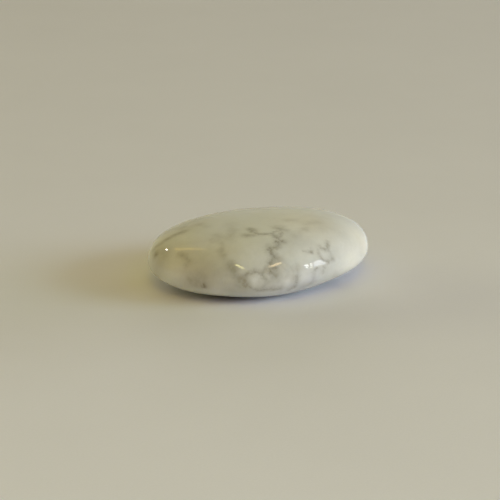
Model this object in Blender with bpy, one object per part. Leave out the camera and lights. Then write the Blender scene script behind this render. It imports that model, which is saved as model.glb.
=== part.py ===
"""A flat oval tumbled stone of howlite, lying on its own worn foot.

Units are metres, +Z is up. The long axis lies along X with the fuller end at
+X, the short plan axis along Y. The origin is the centre of the plan box, on
the resting face (z = 0).

The stone is one solid. It starts as an even ball of quads whose points are
moved to an oval pebble: an oval plan with a few shallow lobes, a section a
little squarer than an ellipse, an upper half that grows thicker towards +X,
a few low swells and one shallow hollow, and a slow waviness of a few
hundredths of a millimetre such as tumbling leaves. The underside is then cut
flat by the ground plane, which gives the small face that the stone rests on.
"""

import math

import bmesh
import bpy
from mathutils import Vector

# ---------------------------------------------------------------- dimensions
HALF_LENGTH = 0.0200      # along X, before the lobes
HALF_WIDTH = 0.0148       # along Y, before the lobes
RISE_ABOVE = 0.00652      # from the girdle up to the crown
DROP_BELOW = 0.00554      # from the girdle down to the underside
SECTION_POWER = 2.31      # 2 is an ellipse, more is squarer
TOP_TAPER_X = 0.049       # share by which the upper half thickens at +X
TOP_TAPER_Y = -0.057      # the same at +Y: the -Y side is the fuller one
FOOT_DEPTH = 0.00012      # how deep the underside is worn flat

# Shallow lobes of the plan: number round the stone, share of the radius, and
# the direction of one crest in degrees from +X.
PLAN_LOBES = (
    (3, 0.0136, 9.5),
    (4, 0.0018, -11.3),
    (5, 0.0033, 47.0),
)

# Slow waviness of the polished skin: height, and a wave vector in turns per
# unit of the ball's radius, and a start phase in turns.
SKIN_WAVES = (
    (0.000050, (0.62, 0.35, 0.20), 0.10),
    (0.000040, (-0.48, 0.90, 0.30), 0.55),
    (0.000028, (1.25, -0.70, 0.55), 0.30),
    (0.000018, (0.60, 1.75, -0.80), 0.85),
)

# Low swells of the skin, and one shallow hollow: height, bearing from +X and
# rise above the girdle in degrees, and spread as a share of the ball's radius.
SWELLS = (
    (0.00014, -82.0, -43.0, 0.30),    # front, right of its middle, low
    (0.00011, -107.0, -46.0, 0.30),   # front, left of its middle, low
    (-0.00018, -55.0, -31.0, 0.26),   # the hollow between the front and the end
    (0.00015, -21.0, -1.0, 0.30),     # on the fuller end
    (0.00008, -2.0, 27.0, 0.28),      # above that end
    (0.00010, 20.0, 43.0, 0.30),      # the shoulder behind it
    (-0.00010, 66.0, 55.0, 0.42),     # the flatter back of the crown
    (-0.00006, 100.0, 52.0, 0.36),
    (0.00006, 140.0, 26.0, 0.28),     # back, above the thinner end
    (-0.00007, -146.0, -40.0, 0.34),  # under the thinner end
)

QUADS_PER_EDGE = 26       # of the cube that the ball is made from

# ------------------------------------------------------------------ material
STONE_COLOUR = (0.74, 0.73, 0.68, 1.0)
STONE_ROUGHNESS = 0.12
STONE_METALLIC = 0.0


def new_collection(name):
    collection = bpy.data.collections.new(name)
    bpy.context.scene.collection.children.link(collection)
    return collection


def stone_material():
    material = bpy.data.materials.new("howlite_polished")
    material.use_nodes = True
    shader = material.node_tree.nodes["Principled BSDF"]
    shader.inputs["Base Color"].default_value = STONE_COLOUR
    shader.inputs["Roughness"].default_value = STONE_ROUGHNESS
    shader.inputs["Metallic"].default_value = STONE_METALLIC
    material.diffuse_color = STONE_COLOUR
    material.roughness = STONE_ROUGHNESS
    return material


def on_ball(point):
    """A point of the cube from -1 to 1, moved to the unit ball with the grid kept even."""
    return Vector(math.tan(c * math.pi / 4.0) for c in point).normalized()


def plan_lobes(angle):
    return 1.0 + sum(
        share * math.cos(count * (angle - math.radians(crest)))
        for count, share, crest in PLAN_LOBES
    )


def skin_wave(direction):
    return sum(
        height
        * math.sin(2.0 * math.pi * (Vector(wave).dot(direction) + phase))
        for height, wave, phase in SKIN_WAVES
    )


def towards(bearing, rise):
    bearing, rise = math.radians(bearing), math.radians(rise)
    return Vector(
        (
            math.cos(rise) * math.cos(bearing),
            math.cos(rise) * math.sin(bearing),
            math.sin(rise),
        )
    )


def swell(direction):
    return sum(
        height
        * math.exp(-(direction - towards(bearing, rise)).length_squared / spread**2)
        for height, bearing, rise, spread in SWELLS
    )


def on_stone(direction):
    """Where a direction from the middle of the ball meets the stone's skin."""
    angle = math.atan2(direction.y, direction.x)
    across = math.hypot(direction.x, direction.y)
    squareness = 2.0 / SECTION_POWER
    reach = across**squareness
    rise = math.copysign(abs(direction.z) ** squareness, direction.z)
    lobes = plan_lobes(angle)
    along = reach * math.cos(angle) * lobes
    aside = reach * math.sin(angle) * lobes
    height = DROP_BELOW
    if rise > 0.0:
        height = RISE_ABOVE * (1.0 + TOP_TAPER_X * along + TOP_TAPER_Y * aside)
    skin = Vector(
        (
            HALF_LENGTH * along,
            HALF_WIDTH * aside,
            height * rise,
        )
    )
    outward = Vector(
        (
            direction.x / HALF_LENGTH,
            direction.y / HALF_WIDTH,
            direction.z / height,
        )
    ).normalized()
    return skin + outward * (skin_wave(direction) + swell(direction))


def stone_mesh():
    form = bmesh.new()
    bmesh.ops.create_cube(form, size=2.0)
    bmesh.ops.subdivide_edges(
        form, edges=form.edges[:], cuts=QUADS_PER_EDGE - 1, use_grid_fill=True
    )
    for vertex in form.verts:
        vertex.co = on_stone(on_ball(vertex.co))
    low = Vector(min(v.co[i] for v in form.verts) for i in range(3))
    high = Vector(max(v.co[i] for v in form.verts) for i in range(3))
    home = Vector(
        ((low.x + high.x) / 2.0, (low.y + high.y) / 2.0, low.z + FOOT_DEPTH)
    )
    bmesh.ops.translate(form, verts=form.verts[:], vec=-home)
    bmesh.ops.recalc_face_normals(form, faces=form.faces[:])
    mesh = bpy.data.meshes.new("howlite_stone")
    form.to_mesh(mesh)
    form.free()
    mesh.shade_smooth()
    return mesh


def ground_cutter(collection):
    """A block whose top is the plane that the stone lies on."""
    depth = 0.010
    form = bmesh.new()
    bmesh.ops.create_cube(form, size=1.0)
    bmesh.ops.scale(
        form,
        verts=form.verts[:],
        vec=(4.0 * HALF_LENGTH, 4.0 * HALF_WIDTH, depth),
    )
    bmesh.ops.translate(form, verts=form.verts[:], vec=(0.0, 0.0, -depth / 2.0))
    mesh = bpy.data.meshes.new("ground_cutter")
    form.to_mesh(mesh)
    form.free()
    cutter = bpy.data.objects.new("ground_cutter", mesh)
    cutter.hide_render = True
    cutter.display_type = "WIRE"
    collection.objects.link(cutter)
    return cutter


def main():
    for old in list(bpy.data.objects):
        bpy.data.objects.remove(old, do_unlink=True)

    pieces = new_collection("howlite")
    cutters = new_collection("howlite_cutters")
    cutters.hide_render = True

    stone = bpy.data.objects.new("howlite_stone", stone_mesh())
    stone.data.materials.append(stone_material())
    pieces.objects.link(stone)

    foot = stone.modifiers.new("worn_foot", "BOOLEAN")
    foot.operation = "DIFFERENCE"
    foot.solver = "EXACT"
    foot.object = ground_cutter(cutters)


main()
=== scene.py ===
"""A polished howlite palm stone lying on a pale table top, in soft light from a window and a lamp."""

import math

import bpy
import numpy as np
from mathutils import Matrix, Vector
from mathutils.bvhtree import BVHTree


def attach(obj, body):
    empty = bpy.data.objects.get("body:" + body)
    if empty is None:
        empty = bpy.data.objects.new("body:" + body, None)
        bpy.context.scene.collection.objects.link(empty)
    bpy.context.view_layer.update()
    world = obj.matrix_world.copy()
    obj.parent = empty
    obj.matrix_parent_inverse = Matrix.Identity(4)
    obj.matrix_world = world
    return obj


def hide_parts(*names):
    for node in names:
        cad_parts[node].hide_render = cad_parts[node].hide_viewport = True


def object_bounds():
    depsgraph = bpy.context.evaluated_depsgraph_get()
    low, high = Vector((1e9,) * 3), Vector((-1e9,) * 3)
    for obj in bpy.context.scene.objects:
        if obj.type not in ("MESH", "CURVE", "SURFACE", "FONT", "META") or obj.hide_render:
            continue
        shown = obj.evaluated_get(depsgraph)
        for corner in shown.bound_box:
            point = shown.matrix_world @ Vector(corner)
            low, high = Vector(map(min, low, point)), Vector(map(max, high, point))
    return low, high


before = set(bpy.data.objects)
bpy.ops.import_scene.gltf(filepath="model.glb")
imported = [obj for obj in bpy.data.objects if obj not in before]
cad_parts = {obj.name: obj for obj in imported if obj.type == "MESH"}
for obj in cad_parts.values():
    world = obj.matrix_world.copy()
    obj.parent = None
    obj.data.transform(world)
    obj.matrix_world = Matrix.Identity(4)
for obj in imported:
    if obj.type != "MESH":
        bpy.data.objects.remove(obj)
CAD_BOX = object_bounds()

# ---------------------------------------------------------------------------
# The stone's skin, in metres: a squarish lens in plan and section, slightly
# thinner at one end, with the low swells and the one hollow left by tumbling.
# ---------------------------------------------------------------------------
HALF_LENGTH = 0.0200
HALF_WIDTH = 0.0148
RISE_ABOVE = 0.00652
DROP_BELOW = 0.00554
SECTION_POWER = 2.31
TOP_TAPER_X = 0.049
TOP_TAPER_Y = -0.057
FOOT_DEPTH = 0.00012
PLAN_LOBES = ((3, 0.0136, 9.5), (4, 0.0018, -11.3), (5, 0.0033, 47.0))
SKIN_WAVES = (
    (0.000050, (0.62, 0.35, 0.20), 0.10),
    (0.000040, (-0.48, 0.90, 0.30), 0.55),
    (0.000028, (1.25, -0.70, 0.55), 0.30),
    (0.000018, (0.60, 1.75, -0.80), 0.85),
)
SWELLS = (  # height, bearing and rise in degrees, spread
    (0.00014, -82.0, -43.0, 0.30),
    (0.00011, -107.0, -46.0, 0.30),
    (-0.00018, -55.0, -31.0, 0.26),
    (0.00015, -21.0, -1.0, 0.30),
    (0.00008, -2.0, 27.0, 0.28),
    (0.00010, 20.0, 43.0, 0.30),
    (-0.00010, 66.0, 55.0, 0.42),
    (-0.00006, 100.0, 52.0, 0.36),
    (0.00006, 140.0, 26.0, 0.28),
    (-0.00007, -146.0, -40.0, 0.34),
)
QUADS_PER_EDGE = 128
COARSE_QUADS = 26


def on_stone(directions):
    """Points of the skin, for unit vectors from the middle of the girdle."""
    x, y, z = directions[..., 0], directions[..., 1], directions[..., 2]
    angle = np.arctan2(y, x)
    power = 2.0 / SECTION_POWER
    reach = np.hypot(x, y) ** power
    rise = np.sign(z) * np.abs(z) ** power
    lobes = 1.0 + sum(
        share * np.cos(count * (angle - math.radians(crest)))
        for count, share, crest in PLAN_LOBES
    )
    along = reach * np.cos(angle) * lobes
    aside = reach * np.sin(angle) * lobes
    height = np.where(
        rise > 0, RISE_ABOVE * (1 + TOP_TAPER_X * along + TOP_TAPER_Y * aside), DROP_BELOW
    )
    skin = np.stack([HALF_LENGTH * along, HALF_WIDTH * aside, height * rise], -1)
    outward = np.stack([x / HALF_LENGTH, y / HALF_WIDTH, z / height], -1)
    outward /= np.linalg.norm(outward, axis=-1, keepdims=True)
    wave = sum(
        size * np.sin(2 * math.pi * (directions @ np.array(step) + phase))
        for size, step, phase in SKIN_WAVES
    )
    for height, bearing, rise, spread in SWELLS:
        b, e = math.radians(bearing), math.radians(rise)
        crest = np.array([math.cos(e) * math.cos(b), math.cos(e) * math.sin(b), math.sin(e)])
        wave = wave + height * np.exp(-((directions - crest) ** 2).sum(axis=-1) / spread**2)
    return skin + outward * wave[..., None]


# ---------------------------------------------------------------------------
# A ball of square patches: six faces of a cube, each a grid of quads.
# ---------------------------------------------------------------------------
CUBE_FACES = (  # outward axis, first grid axis, second grid axis
    ((1, 0, 0), (0, 1, 0), (0, 0, 1)),
    ((-1, 0, 0), (0, -1, 0), (0, 0, 1)),
    ((0, 1, 0), (-1, 0, 0), (0, 0, 1)),
    ((0, -1, 0), (1, 0, 0), (0, 0, 1)),
    ((0, 0, 1), (1, 0, 0), (0, 1, 0)),
    ((0, 0, -1), (-1, 0, 0), (0, 1, 0)),
)


def cube_ball(count):
    """(unit vectors, quads, cube-angle triples of each quad's corners) of a ball."""
    steps = np.arange(-count, count + 1, 2)
    places, corners = [], []
    for out, first, second in CUBE_FACES:
        i, j = np.meshgrid(steps, steps, indexing="ij")
        grid = (
            count * np.array(out)
            + i[..., None] * np.array(first)
            + j[..., None] * np.array(second)
        )
        base = len(places) * (count + 1) ** 2
        index = base + np.arange((count + 1) ** 2).reshape(count + 1, count + 1)
        places.append(grid.reshape(-1, 3))
        corners.append(
            np.stack(
                [index[:-1, :-1], index[1:, :-1], index[1:, 1:], index[:-1, 1:]], -1
            ).reshape(-1, 4)
        )
    places = np.concatenate(places)
    corners = np.concatenate(corners)
    whole, inverse = np.unique(places, axis=0, return_inverse=True)
    quads = inverse.reshape(-1)[corners]
    angles = whole / count
    vectors = np.tan(angles * math.pi / 4)
    vectors /= np.linalg.norm(vectors, axis=1, keepdims=True)
    return vectors, quads, angles[quads]


coarse = on_stone(cube_ball(COARSE_QUADS)[0])
low, high = coarse.min(axis=0), coarse.max(axis=0)
HOME = np.array([(low[0] + high[0]) / 2, (low[1] + high[1]) / 2, low[2] + FOOT_DEPTH])

ball, quads, cube_angles = cube_ball(QUADS_PER_EDGE)
points = on_stone(ball) - HOME
points[:, 2] = np.maximum(points[:, 2], 0.0)  # the ground foot that it stands on
cad_low, cad_high = np.array(CAD_BOX[0]), np.array(CAD_BOX[1])
middle = (cad_low + cad_high) / 2
middle[2] = 0.0
fit = np.minimum(
    1.0,
    np.minimum(
        (cad_high - middle) / (points.max(axis=0) - middle),
        np.append((cad_low - middle)[:2] / (points.min(axis=0) - middle)[:2], 1.0),
    ),
)
points = middle + (points - middle) * fit

mesh = bpy.data.meshes.new("howlite_polished")
mesh.from_pydata(points.tolist(), [], quads.tolist())
mesh.polygons.foreach_set("use_smooth", np.ones(len(mesh.polygons), bool))
mesh.update()

# The map that a bake of the skin uses: the crown and the sides as square rings
# round the top patch in one chart, the underside in a flatter one below it.
LOWEST_RING = -0.5
SPREAD = 0.55
bake_map = mesh.uv_layers.new(name="OFBake")
a, b, c = cube_angles[..., 0], cube_angles[..., 1], cube_angles[..., 2]
upper = c.min(axis=1, keepdims=True) > LOWEST_RING - 1e-9
ring = np.where(upper, 1 + SPREAD * (1 - c), 1 + SPREAD * (1 + c))
widest = np.where(upper, 1 + SPREAD * (1 - LOWEST_RING), 1 + SPREAD * (1 + LOWEST_RING))
across = np.where(upper, a, -a) * ring / widest
down = b * ring / widest
bake_map.uv.foreach_set(
    "vector",
    np.stack([0.5 + 0.495 * across, np.where(upper, 0.63 + 0.365 * down, 0.125 + 0.12 * down)], -1)
    .astype(np.float32)
    .ravel(),
)
stone = bpy.data.objects.new("howlite_polished", mesh)
bpy.context.scene.collection.objects.link(stone)

# ---------------------------------------------------------------------------
# The camera.
# ---------------------------------------------------------------------------
TURN = math.radians(-25.7)
LOOK_DOWN = math.radians(18.0)
DISTANCE = 0.350
FOCAL_PIXELS = 2013.0
FRAME_PIXELS = 500.0
MIDDLE_AT = (258.4, 252.0)  # where the middle of the girdle falls in the frame

RIGHT = np.array([math.cos(TURN), math.sin(TURN), 0.0])
AHEAD = np.array([-math.sin(TURN), math.cos(TURN), 0.0])
LOOK = AHEAD * math.cos(LOOK_DOWN) - np.array([0.0, 0.0, math.sin(LOOK_DOWN)])
UP = np.cross(RIGHT, LOOK)
EYE = (
    -HOME
    - LOOK * DISTANCE
    - RIGHT * (MIDDLE_AT[0] - FRAME_PIXELS / 2) * DISTANCE / FOCAL_PIXELS
    + UP * (MIDDLE_AT[1] - FRAME_PIXELS / 2) * DISTANCE / FOCAL_PIXELS
)

camera = bpy.data.objects.new("camera", bpy.data.cameras.new("camera"))
camera.data.sensor_fit = "HORIZONTAL"
camera.data.sensor_width = 36.0
camera.data.lens = FOCAL_PIXELS / FRAME_PIXELS * 36.0
camera.data.clip_start = 0.01
camera.data.clip_end = 20.0
camera.matrix_world = Matrix(
    [
        [RIGHT[k], UP[k], -LOOK[k], EYE[k]]
        for k in range(3)
    ]
    + [[0, 0, 0, 1]]
)
bpy.context.scene.collection.objects.link(camera)
bpy.context.scene.camera = camera

# ---------------------------------------------------------------------------
# Lights. A bearing is 0 away from the camera, 90 to its right.
# ---------------------------------------------------------------------------


def towards(bearing, elevation):
    b, e = math.radians(bearing), math.radians(elevation)
    flat = AHEAD * math.cos(b) + RIGHT * math.sin(b)
    return flat * math.cos(e) + np.array([0.0, 0.0, math.sin(e)])


def area_light(name, bearing, elevation, distance, wide, tall, floor_light):
    """A soft panel facing the stone. floor_light is what it adds to a white floor there."""
    data = bpy.data.lights.new(name, "AREA")
    data.shape = "RECTANGLE"
    data.size, data.size_y = wide, tall
    way = towards(bearing, elevation)
    colour = np.array(floor_light) * math.pi**2 * distance**2 / way[2]
    data.color = (colour / colour.max()).tolist()
    data.energy = float(colour.max())
    light = bpy.data.objects.new(name, data)
    turn = Vector((way * -1).tolist()).to_track_quat("-Z", "Y").to_matrix().to_4x4()
    light.matrix_world = Matrix.Translation(Vector((way * distance).tolist())) @ turn
    light.visible_glossy = False
    light.visible_camera = False
    bpy.context.scene.collection.objects.link(light)
    return light


FLOOR_WHITE = 0.76
ON_FLOOR = np.array([0.464, 0.442, 0.345]) / FLOOR_WHITE  # all light on the floor, as a radiance
BACKDROP = 0.45 * ON_FLOOR
SKYLINE = 0.66 * ON_FLOOR  # the pale foot of the backdrop, left of the window wall
ROOM = 0.05 * ON_FLOOR

# name, bearing, elevation, distance, wide, tall, share of the floor's light
for name, bearing, elevation, distance, wide, tall, share in (
    ("window", 104, 20, 2.0, 0.85, 0.49, (0.111, 0.155, 0.241)),
    ("window_side", 122, 20, 2.0, 0.85, 0.56, (0.058, 0.084, 0.124)),
    ("bright_wall", 90, 6.5, 2.5, 1.34, 0.48, (0.061, 0.057, 0.094)),
    ("bright_wall_end", 60, 6.5, 2.5, 1.34, 0.48, (0.067, 0.072, 0.104)),
    ("lamp", 180, 43, 2.6, 0.64, 0.82, (0.106, 0.069, 0.000)),
    ("lamp_glow", 188, 43, 2.6, 1.79, 1.11, (0.053, 0.069, 0.000)),
    ("lamp_wall", 178, 30, 2.6, 1.11, 0.64, (0.101, 0.079, 0.090)),
    ("lit_corner", 150, 31, 2.6, 1.39, 0.82, (0.045, 0.039, 0.105)),
    ("front_left", 225, 40, 2.4, 1.38, 0.85, (0.039, 0.023, 0.000)),
    ("ceiling", 180, 78, 2.5, 2.00, 2.00, (0.111, 0.108, 0.000)),
    ("left_wall", 290, 14, 2.4, 1.56, 0.67, (0.087, 0.088, 0.071)),
    ("back_wall", 0, 14, 2.4, 1.56, 0.67, (0.077, 0.076, 0.097)),
    ("back_ceiling", 0, 52, 2.4, 1.94, 1.02, (0.020, 0.009, 0.000)),
):
    area_light(name, bearing, elevation, distance, wide, tall, ON_FLOOR * share)

world = bpy.data.worlds.new("room")
bpy.context.scene.world = world
world.use_nodes = True
tree = world.node_tree
sky = tree.nodes["Background"]
way = tree.nodes.new("ShaderNodeTexCoord")


def world_dot(axis, low, high):
    """0 to 1 as the view turns towards an axis."""
    dot = tree.nodes.new("ShaderNodeVectorMath")
    dot.operation = "DOT_PRODUCT"
    tree.links.new(way.outputs["Generated"], dot.inputs[0])
    dot.inputs[1].default_value = axis
    ramp = tree.nodes.new("ShaderNodeMapRange")
    ramp.interpolation_type = "SMOOTHSTEP"
    tree.links.new(dot.outputs["Value"], ramp.inputs["Value"])
    ramp.inputs["From Min"].default_value = low
    ramp.inputs["From Max"].default_value = high
    return ramp.outputs["Result"]


behind = world_dot(tuple(AHEAD.tolist()), 0.10, 0.50)
below = world_dot((0, 0, 1), 0.90, 0.74)
both = tree.nodes.new("ShaderNodeMath")
both.operation = "MULTIPLY"
tree.links.new(behind, both.inputs[0])
tree.links.new(below, both.inputs[1])
mix = tree.nodes.new("ShaderNodeMix")
mix.data_type = "RGBA"
tree.links.new(both.outputs[0], mix.inputs["Factor"])
mix.inputs["A"].default_value = (*ROOM.tolist(), 1.0)
tone = tree.nodes.new("ShaderNodeMix")
tone.data_type = "RGBA"
low_left = tree.nodes.new("ShaderNodeMath")
low_left.operation = "MULTIPLY"
tree.links.new(world_dot((0, 0, 1), 0.34, 0.06), low_left.inputs[0])
tree.links.new(world_dot(tuple(RIGHT.tolist()), 0.24, -0.06), low_left.inputs[1])
tree.links.new(low_left.outputs[0], tone.inputs["Factor"])
tone.inputs["A"].default_value = (*BACKDROP.tolist(), 1.0)
tone.inputs["B"].default_value = (*SKYLINE.tolist(), 1.0)
tree.links.new(tone.outputs["Result"], mix.inputs["B"])
tree.links.new(mix.outputs["Result"], sky.inputs["Color"])

# ---------------------------------------------------------------------------
# The floor.
# ---------------------------------------------------------------------------
floor_mesh = bpy.data.meshes.new("table_top")
ring = [(4.0 * math.cos(t), 4.0 * math.sin(t), 0.0) for t in np.linspace(0, 2 * math.pi, 65)[:-1]]
floor_mesh.from_pydata(ring, [], [list(range(64))])
floor = bpy.data.objects.new("table_top", floor_mesh)
bpy.context.scene.collection.objects.link(floor)

# ---------------------------------------------------------------------------
# Markings. Each is a short course drawn over the stone from where the camera
# stands, as (across, down) in frame pixels, and laid on the skin by a ray.
# ---------------------------------------------------------------------------
skin_tree = BVHTree.FromPolygons([tuple(p) for p in points.tolist()], quads.tolist())


def laid(course):
    """The points of a course where they meet the stone, in metres."""
    met = []
    for across, down in course:
        ray = (
            LOOK
            + RIGHT * (across + 0.5 - FRAME_PIXELS / 2) / FOCAL_PIXELS
            - UP * (down + 0.5 - FRAME_PIXELS / 2) / FOCAL_PIXELS
        )
        hit = skin_tree.ray_cast(Vector(EYE.tolist()), Vector(ray.tolist()).normalized())[0]
        if hit is None:
            raise ValueError(f"a marking misses the stone at {across}, {down}")
        met.append(tuple(hit))
    return np.array(met)


# Veins of the dark matrix: reach to the edge in mm, strength, course.
VEINS = (
    # the forked branch on the upper middle
    (0.60, 0.46, ((250, 229), (252, 231), (254.5, 232.2), (258, 233.5))),
    (0.52, 0.50, ((258, 233.5), (264, 233.5), (270, 233), (273.5, 233.2))),
    (0.66, 0.32, ((254, 234), (250, 235), (246, 235.5))),
    (0.44, 0.38, ((274, 231.5), (278, 230), (283, 229.3))),
    (0.66, 0.33, ((278, 228), (282, 229.3), (285.5, 230))),
    (0.72, 0.50, ((272.8, 234.6), (275.2, 236), (277.6, 237.6))),
    (0.34, 0.42, ((278.3, 236.8), (280, 234), (281.3, 231.6))),
    (0.35, 0.52, ((278, 238.5), (281, 240))),
    (0.50, 0.70, ((275.3, 240.8), (277.4, 241.2))),
    (0.62, 0.60, ((281.3, 240.4), (283.6, 241.4))),
    # its stem down to the girdle
    (0.66, 0.55, ((278, 242.4), (277.5, 245), (275.5, 247), (272, 247.4), (269, 248))),
    (0.85, 0.60, ((269.8, 248.2), (270.7, 251.5), (272.5, 254.5), (275, 257.6))),
    (0.62, 0.50, ((271.4, 253.5), (272.4, 257), (271.6, 260), (269.8, 263.4))),
    (0.38, 0.43, ((268, 266), (265, 268), (263, 270), (261.5, 273), (262.5, 276), (265, 279))),
    (0.55, 0.70, ((270, 268.6), (275, 268))),
    (0.50, 0.62, ((269.5, 271), (270.7, 271.2))),
    (0.66, 0.44, ((273, 273), (275.5, 274.6))),
    # round the pale nodules on the lower front
    (0.50, 0.47, ((245, 275), (247, 273.2), (250, 272.8), (254, 271))),
    (0.40, 0.53, ((254, 271), (258, 271.5), (260.5, 272.8))),
    (0.44, 0.37, ((247, 284), (249, 286), (252, 288), (257, 289.4))),
    (0.52, 0.46, ((257, 289.4), (263, 289.4), (268, 288.6), (274, 289), (280, 288))),
    (0.42, 0.25, ((262, 288), (265, 284), (268, 281))),
    (0.62, 0.24, ((296.6, 266.4), (297.5, 269.8))),
    (0.52, 0.26, ((297.5, 269.8), (297.3, 273.8))),
    (0.58, 0.46, ((297, 275), (296.5, 279), (296, 284), (293, 287), (289, 289))),
    (0.50, 0.22, ((313, 272), (313.5, 277), (312, 281), (307, 284.5), (303, 286))),
    (0.50, 0.20, ((233, 271), (234, 275.4))),
    (0.50, 0.10, ((236, 276), (238, 280))),
    # fine arcs inside the middle nodule
    (0.40, 0.13, ((279, 264), (284, 267), (287, 272), (285.5, 278))),
    (0.40, 0.14, ((273, 268), (278, 270), (281, 275), (278, 280))),
    (0.36, 0.12, ((284, 262), (291, 267), (293.5, 273))),
    # the scribble on the right
    (0.45, 0.62, ((309.8, 251.4), (310.8, 251.6))),
    (0.32, 0.38, ((303, 251), (308, 251.7))),
    (0.28, 0.27, ((310.2, 250.4), (310, 248))),
    (0.42, 0.30, ((317.5, 249), (318, 253), (320, 256))),
    (0.52, 0.52, ((327, 242.4), (327, 246), (327.6, 249.4))),
    (0.50, 0.44, ((320, 247), (324, 248.5), (326.5, 249.4))),
    (0.40, 0.32, ((329, 250), (330, 254), (331.4, 257.4))),
    (0.52, 0.46, ((331.5, 258), (332.1, 258.8))),
    (0.36, 0.40, ((320, 257), (324, 261), (328, 261.5), (330, 260))),
    (0.38, 0.50, ((316.3, 267.4), (315.7, 268.1))),
    (0.40, 0.40, ((314.7, 269.7), (314.3, 270.4))),
    (0.30, 0.42, ((322.8, 266.6), (325.2, 266.4))),
    (0.48, 0.32, ((322.6, 269.6), (322.3, 270.6))),
    # specks on the dark end
    (0.50, 0.95, ((203.1, 284.4), (203.5, 285.7))),
    (0.45, 0.25, ((184.8, 265), (185.6, 265.7))),
    (0.55, 0.25, ((179.5, 254.5), (185, 256.5), (188, 260))),
    (0.50, 0.24, ((154.2, 253.2), (154.8, 254.8))),
)

# Soft stains of the matrix under the polish: reach in mm, strength, course.
STAINS = (
    (1.0, 0.35, ((249, 228.6), (252, 229.4))),
    (1.0, 0.22, ((244, 234.5), (247.5, 234.6))),
    (1.2, 0.30, ((275.6, 226.6), (279.6, 226.6))),
    (1.1, 0.30, ((273, 261), (276.5, 260.6), (279.2, 259.6))),
    (1.2, 0.20, ((268, 272), (274, 274))),
    (1.0, 0.42, ((239.4, 276.6), (241.6, 279), (244, 279.4))),
    (1.1, 0.46, ((240.8, 283.2), (245.4, 284.8))),
    (1.2, 0.36, ((230.4, 264.4), (232.6, 266.6), (234.6, 269.4))),
    (0.8, 0.22, ((292, 276), (292, 284))),
    (0.8, 0.28, ((334, 274.6), (335.4, 275.2))),
    (1.2, 0.14, ((288, 220), (295, 220))),
    (1.2, 0.10, ((310, 222), (320, 222))),
    (1.0, 0.15, ((294, 235), (299, 233), (303, 229))),
    (0.9, 0.14, ((306, 224), (306, 230))),
    (1.0, 0.42, ((154, 248), (159, 243.6), (165, 239.6), (171, 236), (177, 233.4), (183, 231))),
    (1.2, 0.15, ((183, 231), (190, 226.5), (197, 224))),
    (0.9, 0.42, ((154.8, 252.4), (155.4, 254.4))),
    (1.3, 0.18, ((160, 251.5), (165, 254.5))),
    (1.0, 0.32, ((179.6, 253.4), (183.4, 255))),
    (2.0, 0.22, ((170, 230), (180, 226), (190, 221.6), (196, 220))),
    (1.1, 0.25, ((181, 227.5), (183, 227.3))),
    (1.1, 0.16, ((201, 224), (206, 226))),
    (1.0, 0.26, ((216, 234.6), (217.4, 235.2))),
    (0.9, 0.22, ((211.6, 239.6), (212.6, 240.4))),
    (1.4, 0.11, ((229, 224), (231, 230), (231, 237.5))),
    (1.6, 0.30, ((200.6, 278), (203.4, 285))),
    (1.2, 0.30, ((191.6, 281.2), (193.4, 281.8))),
    (1.1, 0.12, ((188.6, 276.6), (189.6, 277.4))),
    (0.8, 0.16, ((218, 250), (222, 254.5))),
    (0.7, 0.20, ((221, 243), (222, 252), (225, 260), (230, 265), (233, 268))),
    (1.2, 0.16, ((233, 230), (230, 235.5), (220, 239))),
    (1.0, 0.20, ((189, 261.4), (191, 262.4))),
)

# Chalk-white nodules: middle in frame pixels, reach in mm, strength.
NODULES = (
    ((254.5, 280), 1.75, 0.55),
    ((288, 281), 1.7, 0.55),
    ((304.5, 277), 1.6, 0.42),
    ((268, 275), 0.8, 0.30),
    ((240.5, 272.4), 0.8, 0.45),
    ((274, 233.2), 0.45, 0.35),
    ((280, 238.9), 0.45, 0.35),
    ((322, 253), 1.0, 0.25),
    ((214, 288), 1.7, 0.25),
    ((172, 270), 1.6, 0.20),
)

# How grey the body of the stone is: middle in frame pixels, reach in mm, share.
GREYS = (
    ((156, 264), 4.0, 0.42),
    ((168, 246), 4.0, 0.11),
    ((190, 262), 5.0, 0.11),
    ((188, 284), 4.0, 0.34),
    ((202, 244), 5.0, 0.07),
    ((214, 272), 4.5, 0.42),
    ((226, 226), 5.0, 0.03),
    ((230, 252), 2.8, 0.05),
    ((236, 286), 4.0, 0.38),
    ((262, 288), 4.5, 0.15),
    ((254, 281), 3.0, 0.20),
    ((268, 280), 3.0, 0.22),
    ((284, 277), 3.0, 0.22),
    ((316, 246), 3.5, 0.13),
    ((351, 225), 3.2, 0.17),
    ((285, 262), 6.0, 0.18),
    ((290, 238), 4.0, 0.16),
    ((326, 226), 6.0, 0.27),
    ((344, 248), 6.0, 0.11),
    ((361, 250), 3.6, 0.22),
    ((330, 268), 5.0, 0.34),
    ((306, 284), 4.0, 0.34),
)


# Where the body is browner: middle in frame pixels, reach in mm, share.
WARMS = (
    ((202, 258), 5.0, 0.21),
    ((156, 252), 3.0, 0.14),
    ((222, 248), 4.0, 0.22),
    ((310, 222), 7.0, 0.50),
    ((362, 240), 4.0, 0.50),
    ((352, 262), 4.0, 0.40),
    ((180, 252), 3.5, 0.26),
)

# Where it is a cooler grey, low on the front: course, reach in mm, share.
COOLS = (
    (((154, 264), (172, 274), (196, 282), (240, 294), (280, 292), (310, 282)), 3.2, 0.66),
    (((152, 244), (170, 230), (200, 220), (240, 212)), 4.0, 0.30),
    (((205, 240), (215, 228)), 4.0, 0.40),
)


def course_distance(places, course):
    """Distance from each place to a course of points, in metres."""
    nearest = np.full(len(places), np.inf)
    legs = list(zip(course[:-1], course[1:])) or [(course[0], course[0])]
    for start, end in legs:
        along = end - start
        share = np.clip((places - start) @ along / max(along @ along, 1e-18), 0, 1)
        nearest = np.minimum(nearest, np.linalg.norm(places - start - share[:, None] * along, axis=1))
    return nearest


def soft(distance, reach):
    return np.exp(-((distance / (reach * 0.001)) ** 2) * 1.6)


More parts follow.
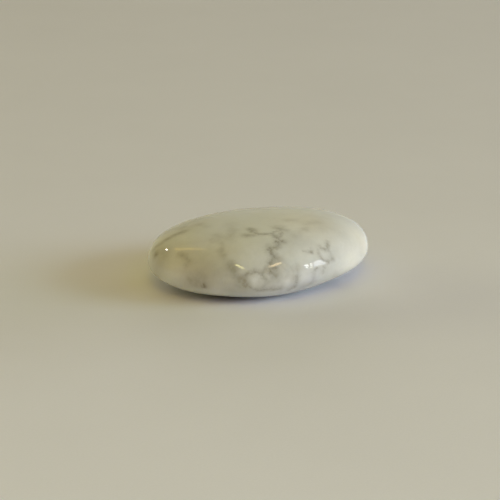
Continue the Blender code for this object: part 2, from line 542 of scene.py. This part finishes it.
def paint(name, values):
    layer = mesh.attributes.new(name, "FLOAT", "POINT")
    layer.data.foreach_set("value", np.clip(values, 0, 1).astype(np.float32))


clear = np.ones(len(points))
for reach, strength, course in STAINS:
    clear *= 1 - strength * soft(course_distance(points, laid(course)), reach)
chalk = np.ones(len(points))
for place, reach, strength in NODULES:
    chalk *= 1 - strength * soft(course_distance(points, laid([place])), reach)
paint("chalk", 1 - chalk)
grey = np.ones(len(points))
for place, reach, share in GREYS:
    grey *= 1 - share * soft(course_distance(points, laid([place])), reach)
paint("grey", 1 - grey)
warm = np.ones(len(points))
for place, reach, share in WARMS:
    warm *= 1 - share * soft(course_distance(points, laid([place])), reach)
paint("warm", 1 - warm)
cool = np.ones(len(points))
for course, reach, share in COOLS:
    cool *= 1 - share * soft(course_distance(points, laid(course)), reach)
paint("cool", 1 - cool)

mesh.update()
facing = np.empty(len(points) * 3, np.float32)
mesh.vertex_normals.foreach_get("vector", facing)
facing = facing.reshape(-1, 3)
gaze = EYE - points
gaze /= np.linalg.norm(gaze, axis=1, keepdims=True)
seen = (facing * gaze).sum(axis=1)
turned_away = np.clip((0.22 - seen) / 0.27, 0, 1)
paint("far_side", turned_away**2 * (3 - 2 * turned_away))

# Painted shade: the hidden underside at the front left is darkened toward the stain colour, to deepen the contact
# shadow where the stone meets the table.
painted_contact_shade = np.clip((-0.01 - seen) / 0.06, 0, 1) * np.clip((-0.70 - facing[:, 2]) / 0.15, 0, 1)
painted_contact_shade *= np.clip(-(points @ AHEAD) / 0.003, 0, 1)
painted_contact_shade *= np.clip((-0.0005 - points @ RIGHT) / 0.0045, 0, 1) * np.clip((points @ RIGHT + 0.0165) / 0.003, 0, 1)
paint("stain_and_contact_shade", np.maximum(1 - clear, 0.9 * painted_contact_shade))


# ---------------------------------------------------------------------------
# What the polish mirrors: the window's two panes, a tube lamp, a warm lamp and two small bulbs, and two faint strips
# that glow though they are no lamps, a painted reflection. Each is a flat shape out where its mirror ray goes.
# ---------------------------------------------------------------------------


def mirrored(across, down):
    """Where the ray through a frame pixel goes once the polish has turned it."""
    ray = (
        LOOK
        + RIGHT * (across + 0.5 - FRAME_PIXELS / 2) / FOCAL_PIXELS
        - UP * (down + 0.5 - FRAME_PIXELS / 2) / FOCAL_PIXELS
    )
    ray /= np.linalg.norm(ray)
    hit, _, face, _ = skin_tree.ray_cast(Vector(EYE.tolist()), Vector(ray.tolist()))
    near = 1 / (np.linalg.norm(points[quads[face]] - np.array(hit), axis=1) + 1e-7)
    normal = (facing[quads[face]] * near[:, None]).sum(axis=0)
    normal /= np.linalg.norm(normal)
    return np.array(hit), ray - 2 * (ray @ normal) * normal


def glint(name, outline, radiance, distance=1.5):
    corners = []
    for across, down in outline:
        start, way = mirrored(across, down)
        way[2] = max(way[2], 0.012)
        corners.append((start + way * distance).tolist())
    shape = bpy.data.meshes.new(name)
    shape.from_pydata(corners, [], [list(range(len(corners)))])
    glow = bpy.data.materials.new(name)
    glow.use_nodes = True
    tree = glow.node_tree
    tree.nodes.clear()
    lit = tree.nodes.new("ShaderNodeEmission")
    strength = max(radiance)
    lit.inputs["Color"].default_value = (*[c / strength for c in radiance], 1.0)
    lit.inputs["Strength"].default_value = strength
    tree.links.new(lit.outputs[0], tree.nodes.new("ShaderNodeOutputMaterial").inputs["Surface"])
    shape.materials.append(glow)
    piece = bpy.data.objects.new(name, shape)
    piece.visible_camera = False
    piece.visible_diffuse = False
    piece.visible_transmission = False
    piece.visible_volume_scatter = False
    piece.visible_shadow = False
    bpy.context.scene.collection.objects.link(piece)
    return piece


glint("pane_left", ((303.9, 264.6), (307.4, 263.4), (307.4, 267.9), (304.9, 267.0)), (9.0, 9.0, 8.8))
glint("pane_middle", ((309.6, 262.8), (311.2, 262.1), (311.2, 267.3), (309.6, 267.7)), (8.0, 8.0, 7.8))
glint(
    "pane_right",
    ((313.0, 261.4), (317.8, 259.0), (323.4, 261.0), (326.2, 264.6), (318.0, 265.7), (313.0, 266.8)),
    (4.4, 4.5, 4.9),
)
glint("pane_sill", ((309.6, 266.8), (318.0, 264.9), (326.8, 263.4), (326.0, 265.4), (312.0, 268.0)), (5.2, 5.0, 4.0))
glint("tube", ((234.4, 264.6), (236.2, 263.6), (244.8, 267.4), (243.0, 269.2)), (6.0, 5.5, 2.4))
glint("warm_lamp", ((268.6, 267.8), (268.4, 265.6), (280.6, 261.2), (282.0, 263.2)), (6.4, 4.5, 2.3))
glint("bulb", ((165.3, 248.9), (165.9, 248.5), (166.6, 248.5), (167.1, 248.9), (167.1, 249.7), (166.6, 250.1), (165.9, 250.1), (165.3, 249.7)), (18.0, 18.0, 15.6))
glint("dim_bulb", ((184.0, 263.4), (185.4, 263.4), (185.4, 264.7), (184.0, 264.7)), (9.0, 9.0, 7.6))
# painted reflection: two strips that glow though they are no lamps, mirrored as faint streaks
glint("glowing_streak", ((174.0, 247.4), (206.0, 248.4), (206.0, 250.0), (174.0, 250.0)), (1.5, 1.02, 0.30))
glint("far_glowing_streak", ((214.0, 247.9), (262.0, 246.6), (262.0, 247.6), (214.0, 248.9)), (0.50, 0.42, 0.26))

# ---------------------------------------------------------------------------
# The stone's material: a chalk-white body greyed in patches, with a web of
# dark matrix in it, under a glassy polish.
# ---------------------------------------------------------------------------
WHITE_BODY = (0.745, 0.755, 0.662)
GREY_BODY = (0.31, 0.295, 0.223)
CHALK = (0.775, 0.78, 0.715)
# The stain colour also paints the contact shade under the front left.
STAIN_AND_SHADE = (0.252, 0.218, 0.125)
MATRIX = (0.158, 0.128, 0.064)
WARM_TINT = (1.06, 0.97, 0.78)
COOL_TINT = (0.98, 0.985, 1.12)

def feed(socket, value):
    if isinstance(value, bpy.types.NodeSocket):
        links.new(value, socket)
    else:
        socket.default_value = value


def scalar(operation, first, second=0.0, third=0.0, clamp=False):
    node = nodes.new("ShaderNodeMath")
    node.operation, node.use_clamp = operation, clamp
    for socket, value in zip(node.inputs, (first, second, third)):
        feed(socket, value)
    return node.outputs[0]


def vector(operation, first, second=(0, 0, 0), third=(0, 0, 0)):
    node = nodes.new("ShaderNodeVectorMath")
    node.operation = operation
    for socket, value in zip(node.inputs, (first, second, third)):
        feed(socket, value)
    return node.outputs["Value" if operation in ("DOT_PRODUCT", "LENGTH") else "Vector"]


def ramp(value, low, high, start=0.0, end=1.0, smooth=True):
    node = nodes.new("ShaderNodeMapRange")
    node.interpolation_type = "SMOOTHSTEP" if smooth else "LINEAR"
    node.clamp = not smooth  # a smooth step holds its ends by itself
    for socket, given in zip(node.inputs, (value, low, high, start, end)):
        feed(socket, given)
    return node.outputs["Result"]


def noise(place, scale, detail=2.0, rough=0.55, output="Fac"):
    node = nodes.new("ShaderNodeTexNoise")
    feed(node.inputs["Vector"], place)
    node.inputs["Scale"].default_value = scale
    node.inputs["Detail"].default_value = detail
    node.inputs["Roughness"].default_value = rough
    return node.outputs["Color" if output == "Color" else 0]


def blend(share, first, second, kind="MIX"):
    node = nodes.new("ShaderNodeMix")
    node.data_type, node.blend_type = "RGBA", kind
    feed(node.inputs["Factor"], share)
    for name, value in (("A", first), ("B", second)):
        feed(node.inputs[name], value if isinstance(value, bpy.types.NodeSocket) else (*value, 1.0))
    return node.outputs["Result"]


def painted(name):
    node = nodes.new("ShaderNodeAttribute")
    node.attribute_name = name
    return node.outputs["Fac"]


def edge_web(place, scale, width):
    """1 on the walls between the cells of a broken stone, 0 inside them."""
    node = nodes.new("ShaderNodeTexVoronoi")
    node.feature = "DISTANCE_TO_EDGE"
    feed(node.inputs["Vector"], place)
    node.inputs["Scale"].default_value = scale
    return ramp(node.outputs["Distance"], 0.0, width, 1.0, 0.0)


# One straight leg of a vein: how deep a place lies in it, or in those before it.
vein_leg = bpy.data.node_groups.new("vein_leg", "ShaderNodeTree")
for name, kind in (
    ("Place", "Vector"),
    ("Before", "Float"),
    ("Start", "Vector"),
    ("Along", "Vector"),
    ("Inverse", "Vector"),
    ("Reach", "Float"),
    ("Strength", "Float"),
):
    vein_leg.interface.new_socket(name, in_out="INPUT", socket_type="NodeSocket" + kind)
vein_leg.interface.new_socket("Depth", in_out="OUTPUT", socket_type="NodeSocketFloat")
nodes, links = vein_leg.nodes, vein_leg.links
given = nodes.new("NodeGroupInput").outputs
offset = vector("SUBTRACT", given["Place"], given["Start"])
share = scalar("MINIMUM", scalar("MAXIMUM", vector("DOT_PRODUCT", offset, given["Inverse"]), 0.0), 1.0)
passed = nodes.new("ShaderNodeVectorMath")
passed.operation = "SCALE"
feed(passed.inputs["Vector"], given["Along"])
feed(passed.inputs["Scale"], share)
reached = vector("LENGTH", vector("SUBTRACT", offset, passed.outputs["Vector"]))
fade = nodes.new("ShaderNodeMapRange")
fade.clamp = False
for socket, value in zip(fade.inputs, (reached, 0.0, given["Reach"], given["Strength"], 0.0)):
    feed(socket, value)
links.new(scalar("MAXIMUM", given["Before"], fade.outputs["Result"]), nodes.new("NodeGroupOutput").inputs["Depth"])

skin = bpy.data.materials.new("howlite_polished")
skin.use_nodes = True
nodes, links = skin.node_tree.nodes, skin.node_tree.links
shader = nodes["Principled BSDF"]


where = nodes.new("ShaderNodeTexCoord").outputs["Object"]
in_mm = vector("MULTIPLY", where, (1000.0, 1000.0, 1000.0))
wander = vector("MULTIPLY", vector("SUBTRACT", noise(in_mm, 0.85, 2, 0.6, "Color"), (0.5, 0.5, 0.5)), (0.9, 0.9, 0.9))
fray = vector("MULTIPLY", vector("SUBTRACT", noise(in_mm, 2.6, 2, 0.6, "Color"), (0.5, 0.5, 0.5)), (0.55, 0.55, 0.55))
feather = vector("MULTIPLY", vector("SUBTRACT", noise(in_mm, 7.0, 2, 0.6, "Color"), (0.5, 0.5, 0.5)), (0.34, 0.34, 0.34))
bent = vector("ADD", vector("ADD", vector("ADD", in_mm, wander), fray), feather)

# veins laid on the near side
vein = 0.0
for reach, strength, course in VEINS:
    path = laid(course) * 1000
    for start, end in zip(path[:-1], path[1:]):
        along = end - start
        leg = nodes.new("ShaderNodeGroup")
        leg.node_tree = vein_leg
        for name, given in (
            ("Place", bent),
            ("Before", vein),
            ("Start", tuple(start)),
            ("Along", tuple(along)),
            ("Inverse", tuple(along / (along @ along))),
            ("Reach", 2.0 * reach),
            ("Strength", math.sqrt(strength)),
        ):
            feed(leg.inputs[name], given)
        vein = leg.outputs["Depth"]
vein = scalar("MULTIPLY", vein, vein)
uneven = ramp(noise(in_mm, 1.3, 2, 0.6), 0.32, 0.68, 0.62, 1.22, smooth=False)
vein = scalar("MULTIPLY", vein, uneven, clamp=True)

# the same web, unseen from the front
far = painted("far_side")
torn = vector("ADD", in_mm, vector("MULTIPLY", vector("SUBTRACT", noise(in_mm, 0.22, 4, 0.6, "Color"), (0.5, 0.5, 0.5)), (7.0, 7.0, 7.0)))
patchy = ramp(noise(in_mm, 0.11, 2, 0.5), 0.46, 0.62)
fine_patchy = ramp(noise(in_mm, 0.19, 2, 0.5), 0.50, 0.62)
coarse_web = scalar("MULTIPLY", edge_web(torn, 0.14, 0.055), patchy)
fine_web = scalar("MULTIPLY", edge_web(torn, 0.36, 0.085), scalar("MULTIPLY", fine_patchy, 0.55))
web = scalar("MULTIPLY", scalar("MAXIMUM", coarse_web, fine_web), uneven)
web = scalar("MULTIPLY", scalar("MULTIPLY", web, 0.68), far)
vein = scalar("MAXIMUM", vein, web)

# stains, with the painted contact shade under the front left, and greys
cloud = noise(in_mm, 0.30, 4, 0.6)
speckle = noise(in_mm, 2.2, 3, 0.65)
mottle = ramp(noise(in_mm, 0.9, 3, 0.6), 0.30, 0.70, 0.55, 1.35, smooth=False)
# the stain mask holds the real stains and also the painted contact shade under the front left
stain_and_contact_shade = scalar("MULTIPLY", painted("stain_and_contact_shade"), mottle)
far_stain = scalar("MULTIPLY", scalar("MULTIPLY", ramp(noise(torn, 0.16, 3, 0.55), 0.52, 0.74), 0.42), far)
stain_and_contact_shade = scalar("MAXIMUM", stain_and_contact_shade, far_stain, clamp=True)
far_grey = scalar("MULTIPLY", ramp(noise(in_mm, 0.07, 2, 0.5), 0.35, 0.65, 0.04, 0.50), far)
grey = scalar("MAXIMUM", painted("grey"), far_grey)
grey = scalar("ADD", grey, ramp(cloud, 0.30, 0.70, -0.07, 0.07, smooth=False))
grey = scalar("ADD", grey, ramp(speckle, 0.30, 0.70, -0.025, 0.025, smooth=False), clamp=True)

body = blend(grey, WHITE_BODY, GREY_BODY)
body = blend(painted("warm"), body, WARM_TINT, "MULTIPLY")
body = blend(painted("cool"), body, COOL_TINT, "MULTIPLY")
body = blend(scalar("MULTIPLY", painted("chalk"), mottle, clamp=True), body, CHALK)
body = blend(stain_and_contact_shade, body, STAIN_AND_SHADE)
body = blend(vein, body, MATRIX)
links.new(body, shader.inputs["Base Color"])

gloss = ramp(noise(in_mm, 1.1, 3, 0.6), 0.3, 0.7, 0.030, 0.060, smooth=False)
links.new(scalar("MULTIPLY_ADD", vein, 0.10, gloss), shader.inputs["Roughness"])
shader.inputs["IOR"].default_value = 1.59
shader.inputs["Subsurface Weight"].default_value = 0.40
shader.inputs["Subsurface Radius"].default_value = (1.0, 0.9, 0.8)
shader.inputs["Subsurface Scale"].default_value = 0.0006

relief = scalar("MULTIPLY_ADD", vein, -0.35, scalar("MULTIPLY", noise(in_mm, 0.8, 2, 0.5), 0.5))
bump = nodes.new("ShaderNodeBump")
bump.inputs["Strength"].default_value = 0.25
bump.inputs["Distance"].default_value = 0.00001
links.new(relief, bump.inputs["Height"])
links.new(bump.outputs["Normal"], shader.inputs["Normal"])
mesh.materials.append(skin)

# ---------------------------------------------------------------------------
# The table top: pale matt paint with a fine tooth. Painted light: its colour is made a little lighter toward the near
# edge, which stands closer to the room's lights.
# ---------------------------------------------------------------------------
floor_skin = bpy.data.materials.new("table_top")
floor_skin.use_nodes = True
nodes, links = floor_skin.node_tree.nodes, floor_skin.node_tree.links
floor_shader = nodes["Principled BSDF"]
where = nodes.new("ShaderNodeTexCoord").outputs["Object"]
in_mm = vector("MULTIPLY", where, (1000.0, 1000.0, 1000.0))
# painted light: the floor colour rises toward the near edge in place of the lights' fall-off
from_edge = scalar("SUBTRACT", vector("DOT_PRODUCT", where, tuple(AHEAD.tolist())), float(AHEAD @ EYE))
near = scalar("DIVIDE", 0.35, scalar("MAXIMUM", from_edge, 0.20))
painted_falloff_gain = np.array([0.20, 0.22, 0.26])
tone_with_painted_falloff = vector(
    "MULTIPLY_ADD", near, tuple((FLOOR_WHITE * painted_falloff_gain).tolist()), tuple((FLOOR_WHITE * (1 - painted_falloff_gain)).tolist())
)
tooth = ramp(noise(in_mm, 2.4, 3, 0.7), 0.25, 0.75, 0.984, 1.016, smooth=False)
cloudy = ramp(noise(in_mm, 0.03, 3, 0.6), 0.30, 0.70, 0.990, 1.010, smooth=False)
tone_with_painted_falloff = vector("MULTIPLY", tone_with_painted_falloff, scalar("MULTIPLY", tooth, cloudy))
links.new(tone_with_painted_falloff, floor_shader.inputs["Base Color"])
floor_shader.inputs["Roughness"].default_value = 0.9
floor_shader.inputs["Specular IOR Level"].default_value = 0.0
tooth_bump = nodes.new("ShaderNodeBump")
tooth_bump.inputs["Strength"].default_value = 0.10
tooth_bump.inputs["Distance"].default_value = 0.00002
links.new(noise(in_mm, 3.0, 3, 0.7), tooth_bump.inputs["Height"])
links.new(tooth_bump.outputs["Normal"], floor_shader.inputs["Normal"])
floor_mesh.materials.append(floor_skin)

# A pale wall far behind, for a camera that stands lower than the photograph's.
# It is seen, but lights nothing and is not mirrored.
wall_mesh = bpy.data.meshes.new("pale_wall")
wall_ring = [(1.2 * math.cos(t), 1.2 * math.sin(t)) for t in np.linspace(0, 2 * math.pi, 65)[:-1]]
wall_mesh.from_pydata(
    [(x, y, z) for z in (-0.01, 3.0) for x, y in wall_ring],
    [],
    [(k, (k + 1) % 64, 64 + (k + 1) % 64, 64 + k) for k in range(64)],
)
wall_mesh.polygons.foreach_set("use_smooth", np.ones(64, bool))
wall_skin = bpy.data.materials.new("pale_wall")
wall_skin.use_nodes = True
nodes, links = wall_skin.node_tree.nodes, wall_skin.node_tree.links
nodes.clear()
where = nodes.new("ShaderNodeTexCoord").outputs["Object"]
height = nodes.new("ShaderNodeSeparateXYZ")
links.new(where, height.inputs[0])
# painted light: the wall glows with its own light instead of being lit, lighter near the floor and darker toward its
# top
shade = blend(ramp(height.outputs["Z"], 0.0, 2.0), (0.45, 0.43, 0.36), (0.36, 0.35, 0.30))
shade = vector("MULTIPLY", shade, ramp(noise(where, 1.5, 3, 0.6), 0.30, 0.70, 0.97, 1.03, smooth=False))
wall_glow = nodes.new("ShaderNodeEmission")
links.new(shade, wall_glow.inputs["Color"])
links.new(wall_glow.outputs[0], nodes.new("ShaderNodeOutputMaterial").inputs["Surface"])
wall_mesh.materials.append(wall_skin)
wall = bpy.data.objects.new("pale_wall", wall_mesh)
for part in ("diffuse", "glossy", "transmission", "volume_scatter", "shadow"):
    setattr(wall, "visible_" + part, False)
bpy.context.scene.collection.objects.link(wall)

scene = bpy.context.scene
scene.view_settings.view_transform = "Standard"

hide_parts("howlite_stone")
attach(stone, "root")
